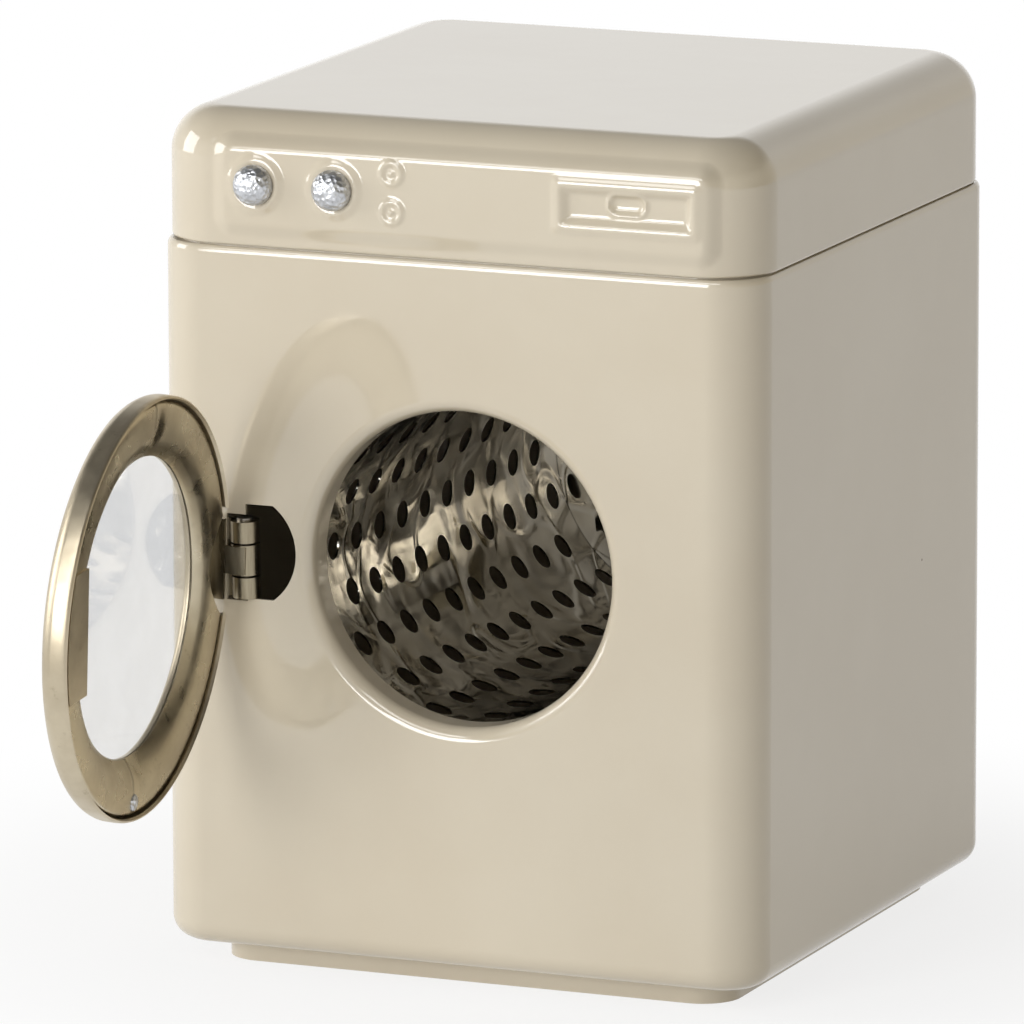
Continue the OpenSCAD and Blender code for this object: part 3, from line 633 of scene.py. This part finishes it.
def build_cabinet():
    line = Outline(HALF_W, HALF_D, CAB_CORNER, 48, 10, (24, 16))
    low, high = cab_lo.z, cab_hi.z
    rings, walls = wrap_rings(line, low, high)
    # the flat front and back are left out here and filled by patches with their openings
    flats = set()
    for kind, start, count in line.runs:
        if kind in ("front", "back"):
            flats.update(range(start, start + count - 1))
    verts, faces = join_rings(rings, lambda k, i: k in walls and i in flats)
    verts = [tuple(v) for v in verts]

    def add(vs, fs):
        k = len(verts)
        verts.extend(tuple(v) for v in vs)
        faces.extend(tuple(k + i for i in f) for f in fs)
    front_holes = [circle_points(PORT_X, PORT_Z, PORT_R + LIP_R, PORT_STEPS), hinge_opening()]
    rear = [(-REAR_HALF_W, REAR_LOW), (REAR_HALF_W, REAR_LOW),
            (REAR_HALF_W, REAR_HIGH), (-REAR_HALF_W, REAR_HIGH)]
    flat_half = HALF_W - CAB_CORNER
    front_columns = spread(-flat_half, flat_half, 48)
    back_columns = spread(-flat_half, flat_half, 8)
    for depth in (0, SHEET):
        add(*patch(front_columns, low + CAB_BOTTOM, high - CAB_ROLL, -HALF_D + depth, front_holes))
    for depth in (0, SHEET):
        add(*patch(back_columns, low + CAB_BOTTOM, high - CAB_ROLL, HALF_D - depth, [rear]))
    add(*edge_wall(front_holes[1], -HALF_D, -HALF_D + SHEET))
    add(*edge_wall(rear, HALF_D, HALF_D - SHEET))
    add(*porthole_collar())
    o = mesh_object("cabinet_skin", np.array(verts) * MM, faces, "enamel",
                    "cabinet_body", "cabinet")
    smooth(o, 40)


build_cabinet()

# ---------------------------------------------------------------- door

OPEN_TURN = Matrix.Rotation(-math.radians(JOINT["door_swing"]["range_deg"][1]), 4,
                            Vector(JOINT["door_swing"]["axis"]))
# the closed rim stands this far before the cabinet's front
DOOR_GAP = 0.3
RIM_Y = -HALF_D - DOOR_GAP
# the pin stands this far outside the ring
PIN_OUT = 3.1
RING_R = PORT_X - HINGE.x - PIN_OUT
RING_W, DOOR_T, DOOR_SHEET, LINER_SHEET = 9.1, 4.6, 0.5, 0.4
DOOR_ROLL, PANE_ROLL = 2.5, 1.0
WINDOW_R = RING_R - RING_W
RING_STEPS, LINER_STEPS = 256, 150
HINGE_UP = HINGE.z - PORT_Z
TOP_JOINT, LOW_JOINT = math.radians(95), math.radians(-83)
JOINT_HALF_GAP = math.radians(0.18)
LINER_IN = 1.05

# cut in the ring for the hinge leaf: half height, depth, and reach into the ring
LEAF_HALF_H, LEAF_DEPTH, LEAF_IN = 8.75, 4.05, 1.7
# round bite in the liner beside it: radius and how far it reaches into the ring
BITE_R, BITE_IN = 9, 6.5


def door_point(x, y, depth):
    """A point given across the closed door and out from its rim, in mm, as it stands open, in m."""
    closed = Vector((PORT_X + x, RIM_Y - depth, PORT_Z + y))
    return (OPEN_TURN @ (closed - HINGE) + HINGE) * MM


def sweep_round_door(name, angles, section, mat, replaced, thick, wrap, out_sign, cutter=None):
    """A sheet swept round the door from section(angle) -> [(radius, depth)], less the cutter."""
    rows = [[door_point(r * math.cos(a), r * math.sin(a), d) for r, d in section(a)]
            for a in angles]
    n, m = len(rows), len(rows[0])
    verts = [v for row in rows for v in row]
    faces = []
    for i in range(n if wrap else n - 1):
        j = (i + 1) % n
        faces += [(i * m + k, i * m + k + 1, j * m + k + 1, j * m + k) for k in range(m - 1)]
    o = mesh_object(name, verts, faces, mat, "door", replaced)
    # the skin's outside faces along out_sign times the closed door's outward direction
    bm = bmesh.new()
    bm.from_mesh(o.data)
    outward = (door_point(0, 0, 9) - door_point(0, 0, 0)).normalized() * out_sign
    flattest = max(bm.faces, key=lambda f: abs(f.normal.dot(outward)))
    if flattest.normal.dot(outward) < 0:
        bmesh.ops.reverse_faces(bm, faces=bm.faces)
    bm.to_mesh(o.data)
    bm.free()
    thicken(o, thick)
    if cutter:
        cut_away(o, cutter)
    smooth(o, 48)


def prism(outline, near, far):
    """A throwaway solid across the door from a list of (x, y), between two depths."""
    n = len(outline)
    verts = [door_point(x, y, depth) for depth in (near, far) for x, y in outline]
    faces = [tuple(range(n)), tuple(range(2 * n - 1, n - 1, -1))]
    faces += [(i, (i + 1) % n, n + (i + 1) % n, n + i) for i in range(n)]
    me = bpy.data.meshes.new("cutter")
    me.from_pydata(verts, [], faces)
    bm = bmesh.new()
    bm.from_mesh(me)
    bmesh.ops.recalc_face_normals(bm, faces=bm.faces)
    bm.to_mesh(me)
    bm.free()
    o = bpy.data.objects.new("cutter", me)
    scene.collection.objects.link(o)
    return o


def cut_away(o, cutter):
    """Cut a throwaway solid out of an object for good."""
    b = o.modifiers.new("cut", "BOOLEAN")
    b.operation = "DIFFERENCE"
    b.solver = "EXACT"
    b.object = cutter
    bpy.context.view_layer.update()
    deps = bpy.context.evaluated_depsgraph_get()
    new = bpy.data.meshes.new_from_object(o.evaluated_get(deps))
    o.modifiers.clear()
    old = o.data
    o.data = new
    bpy.data.meshes.remove(old)
    bpy.data.objects.remove(cutter)


def arc_points(cx, cy, r, a0, a1, n):
    return [(cx + r * math.cos(math.radians(a)), cy + r * math.sin(math.radians(a)))
            for a in spread(a0, a1, n)]


def shell_section(a):
    """Outer skin of the door's ring: open rim, wall, roll, face and the turn into the window."""
    sag = 0.04 * math.sin(3 * a + 0.6) + 0.03 * math.sin(7 * a)
    pts = [(RING_R - 0.42, 0.0), (RING_R - 0.16, 0.12), (RING_R - 0.04, 0.45), (RING_R, 1.0)]
    pts += arc_points(RING_R - DOOR_ROLL, DOOR_T - DOOR_ROLL, DOOR_ROLL, 0, 90, 12)[1:]
    pts += [(WINDOW_R + 3.4, DOOR_T), (WINDOW_R + 2.2, DOOR_T)]
    pts += arc_points(WINDOW_R + PANE_ROLL, DOOR_T - PANE_ROLL, PANE_ROLL, 90, 180, 6)
    pts += [(WINDOW_R, 3.42)]
    # the face is flat, and the wall wavers a little
    return [(r + (0.0 if d > 4 else 0.5) * sag - 0.05, d) for r, d in pts]


def bump_at(r, a, r0, a0, wr, wa):
    """A soft oval spot round radius r0 and angle a0, with half widths in mm along and across."""
    da = math.atan2(math.sin(a - a0), math.cos(a - a0)) * r0
    return math.exp(-((r - r0) / wr) ** 2 - (da / wa) ** 2)


# the liner's section, as distance in from the ring's edge and depth
LINER_KNOTS = ((1.05, 0.95), (1.25, 0.72), (1.8, 0.56), (2.8, 0.5), (4.0, 0.52), (5.0, 0.62),
               (6.0, 0.82), (6.9, 1.12), (7.7, 1.5), (8.4, 1.95), (8.95, 2.35), (9.2, 2.6))


def liner_section(a):
    """Liner of the door: a shallow convex face that rolls down into the window."""
    radii = np.array([RING_R - inward for inward, depth in LINER_KNOTS])[::-1]
    depths = np.array([depth for inward, depth in LINER_KNOTS])[::-1]
    out = []
    for r in spread(RING_R - LINER_IN, RING_R - LINER_KNOTS[-1][0], 34):
        d = float(np.interp(r, radii, depths))
        # small dents where the two halves meet
        d += 0.45 * bump_at(r, a, RING_R - 4.9, LOW_JOINT - 0.035, 1.9, 0.62)
        d += 0.3 * bump_at(r, a, RING_R - 2.4, LOW_JOINT - 0.03, 1.3, 1.6)
        d += 0.35 * bump_at(r, a, RING_R - 4.6, TOP_JOINT + 0.05, 2.6, 1.2)
        d += 0.2 * bump_at(r, a, RING_R - 6.6, TOP_JOINT + 0.02, 1.4, 1.0)
        d += 0.03 * math.sin(5 * a + 1) + 0.02 * math.sin(11 * a)
        out.append((r, max(d, 0.3)))
    return out


def build_door():
    outside, into_ring = -(RING_R + 3), -RING_R + LEAF_IN
    low, high = HINGE_UP - LEAF_HALF_H, HINGE_UP + LEAF_HALF_H
    leaf_cut = prism([(outside, low), (into_ring, low), (into_ring, high), (outside, high)],
                     -1, LEAF_DEPTH)
    ring = [2 * math.pi * i / RING_STEPS for i in range(RING_STEPS)]
    sweep_round_door("door_ring", ring, shell_section, "plated", "door_shell", DOOR_SHEET,
                     True, 1, leaf_cut)
    free = spread(LOW_JOINT + JOINT_HALF_GAP, TOP_JOINT - JOINT_HALF_GAP, LINER_STEPS)
    sweep_round_door("liner_free", free, liner_section, "liner", "door_liner_free", LINER_SHEET,
                     False, -1)
    bite = prism(circle_points(-RING_R + BITE_IN - BITE_R, HINGE_UP, BITE_R, 96), -1, 6)
    hinged = spread(TOP_JOINT + JOINT_HALF_GAP, LOW_JOINT + 2 * math.pi - JOINT_HALF_GAP,
                    LINER_STEPS)
    sweep_round_door("liner_hinge", hinged, liner_section, "liner", "door_liner_hinge", LINER_SHEET,
                     False, -1, bite)


build_door()

# ---------------------------------------------------------------- stage and light


FLOOR_HALF = 2.0
# the floor lies a hair below the part's base plane
FLOOR_Z = -0.00005


def stage_floor():
    """Pale paper that is seen as pure white away from the part and keeps some shadow near it."""
    bm = bmesh.new()
    bmesh.ops.create_grid(bm, x_segments=8, y_segments=8, size=FLOOR_HALF)
    me = bpy.data.meshes.new("floor")
    bm.to_mesh(me)
    bm.free()
    m = Nodes("floor_paper")
    from_middle = m.new("VectorMath")
    from_middle.operation = "LENGTH"
    m.put(from_middle.inputs[0], m.coord)
    m.shader(Base_Color=m.mix(m.noise(14, 2), srgb(240, 240, 239), srgb(244, 244, 243)),
             Roughness=0.8, Specular_IOR_Level=0.1)
    light_path = m.new("LightPath")
    rays = m.math("MAXIMUM", light_path.outputs["Is Camera Ray"],
                  light_path.outputs["Is Transmission Ray"])
    rays = m.math("MAXIMUM", rays, light_path.outputs["Is Glossy Ray"])
    white_share = m.ramp(from_middle.outputs["Value"], 0.05, 0.15, 0.8, 1.0)
    m.blend(m.math("MULTIPLY", white_share, rays),
            m.new("Emission", Color=(1, 1, 1, 1), Strength=1.0))
    me.materials.append(m.mat)
    o = bpy.data.objects.new("floor", me)
    o.location.z = FLOOR_Z
    scene.collection.objects.link(o)


def soft_light(name, place, width, height, power):
    """An area lamp aimed at the part's middle."""
    data = bpy.data.lights.new(name, "AREA")
    data.shape = "RECTANGLE"
    data.size = width
    data.size_y = height
    data.energy = power
    o = bpy.data.objects.new(name, data)
    o.location = place
    aim = Vector((0, 0, 0.06)) - Vector(place)
    o.rotation_euler = aim.to_track_quat("-Z", "Y").to_euler()
    scene.collection.objects.link(o)


def make_world():
    """A pale room with a dark ceiling, brighter behind, dimmer and warmer to the right."""
    w = bpy.data.worlds.new("studio")
    scene.world = w
    w.use_nodes = True
    t = w.node_tree
    room = t.nodes["Background"]

    def math_node(op, a, b):
        n = t.nodes.new("ShaderNodeMath")
        n.operation = op
        for socket, v in zip(n.inputs, (a, b)):
            if isinstance(v, bpy.types.NodeSocket):
                t.links.new(v, socket)
            else:
                socket.default_value = v
        return n.outputs[0]

    def ramp(fac, lo, hi, out_lo, out_hi):
        n = t.nodes.new("ShaderNodeMapRange")
        n.interpolation_type = "SMOOTHSTEP"
        t.links.new(fac, n.inputs[0])
        for i, v in enumerate((lo, hi, out_lo, out_hi)):
            n.inputs[i + 1].default_value = v
        return n.outputs[0]

    coord = t.nodes.new("ShaderNodeTexCoord")
    split = t.nodes.new("ShaderNodeSeparateXYZ")
    t.links.new(coord.outputs["Generated"], split.inputs[0])
    x, y, z = split.outputs
    side = ramp(x, -0.2, 0.75, 0.85, 0.7)
    height = ramp(z, 0.27, 0.6, 1.0, 0.2)
    behind = ramp(y, 0.2, 0.8, 1.0, 1.66)
    level = math_node("MULTIPLY", math_node("MULTIPLY", side, height), behind)
    t.links.new(math_node("MULTIPLY", level, 0.88), room.inputs["Strength"])
    colour = t.nodes.new("ShaderNodeCombineColor")
    colour.inputs["Red"].default_value = 1
    t.links.new(ramp(x, 0.1, 0.8, 0.995, 0.91), colour.inputs["Green"])
    t.links.new(ramp(x, 0.1, 0.8, 0.985, 0.74), colour.inputs["Blue"])
    t.links.new(colour.outputs[0], room.inputs["Color"])

    # the camera sees plain white instead, directly and through the window
    white = t.nodes.new("ShaderNodeBackground")
    white.inputs["Color"].default_value = (1, 1, 1, 1)
    white.inputs["Strength"].default_value = 1
    light_path = t.nodes.new("ShaderNodeLightPath")
    seen = math_node("MAXIMUM", light_path.outputs["Is Camera Ray"],
                     light_path.outputs["Is Transmission Ray"])
    mixer = t.nodes.new("ShaderNodeMixShader")
    for source, socket in zip((seen, room.outputs[0], white.outputs[0]), mixer.inputs):
        t.links.new(source, socket)
    t.links.new(mixer.outputs[0], t.nodes["World Output"].inputs[0])


stage_floor()
make_world()
soft_light("soft_box", (-0.14, -1.1, 0.86), 0.9, 0.3, 3.9)
soft_light("front_fill", (-0.34, -1.14, 0.26), 0.36, 0.5, 4.4)
soft_light("left_fill", (-1.15, -0.4, 0.4), 0.6, 0.7, 5.6)
